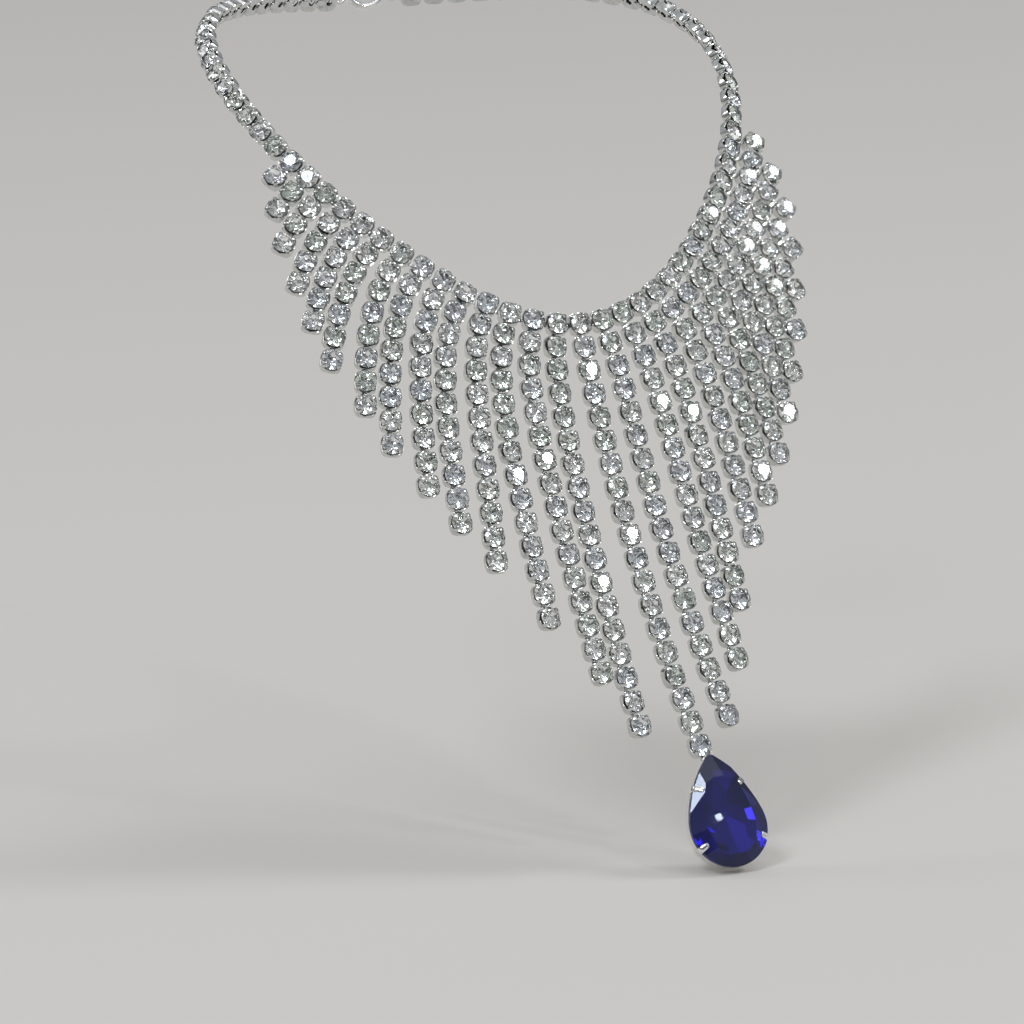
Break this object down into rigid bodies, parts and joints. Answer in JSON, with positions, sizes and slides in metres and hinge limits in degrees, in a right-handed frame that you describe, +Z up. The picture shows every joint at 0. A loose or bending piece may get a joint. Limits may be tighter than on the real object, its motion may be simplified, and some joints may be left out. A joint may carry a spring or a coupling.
{
  "type": "drop pendant necklace",
  "caption": "Fringe necklace in its worn form: a cup-chain neck loop, graduated strands of clear stones hanging from its front, and a pear-shaped blue glass drop in a pronged silver setting.",
  "frame": {"origin": "the middle of the neck loop, where the wearer's neck passes through it", "axes": "+Z up the neck, -Y towards the front of the necklace, +X to the viewer's right when it is seen from the front"},
  "size_m": [0.1267, 0.1815, 0.1711],
  "materials": {
    "cup_chain": "bright silver plate set with clear faceted foil-backed stones",
    "silver_plate": "bright polished silver plate",
    "clear_glass": "clear cut glass with a silver foil back",
    "blue_glass": "deep sapphire-blue cut glass with a foil back"
  },
  "bodies": {
    "root": {"clasp": "silver_plate", "drop_setting": "silver_plate", "drop_stone": "blue_glass", "fringe_centre": "cup_chain", "fringe_left_01": "cup_chain", "fringe_left_02": "cup_chain", "fringe_left_03": "cup_chain", "fringe_left_04": "cup_chain", "fringe_left_05": "cup_chain", "fringe_left_06": "cup_chain", "fringe_left_07": "cup_chain", "fringe_left_08": "cup_chain", "fringe_left_09": "cup_chain", "fringe_left_10": "cup_chain", "fringe_left_11": "cup_chain", "fringe_left_12": "cup_chain", "fringe_left_13": "cup_chain", "fringe_left_14": "cup_chain", "fringe_right_01": "cup_chain", "fringe_right_02": "cup_chain", "fringe_right_03": "cup_chain", "fringe_right_04": "cup_chain", "fringe_right_05": "cup_chain", "fringe_right_06": "cup_chain", "fringe_right_07": "cup_chain", "fringe_right_08": "cup_chain", "fringe_right_09": "cup_chain", "fringe_right_10": "cup_chain", "fringe_right_11": "cup_chain", "fringe_right_12": "cup_chain", "fringe_right_13": "cup_chain", "fringe_right_14": "cup_chain", "neck_centre": "cup_chain", "neck_left_1": "cup_chain", "neck_left_2": "cup_chain", "neck_left_3": "cup_chain", "neck_left_4": "cup_chain", "neck_left_5": "cup_chain", "neck_right_1": "cup_chain", "neck_right_2": "cup_chain", "neck_right_3": "cup_chain", "neck_right_4": "cup_chain", "neck_right_5": "cup_chain"}
  },
  "joints": []
}
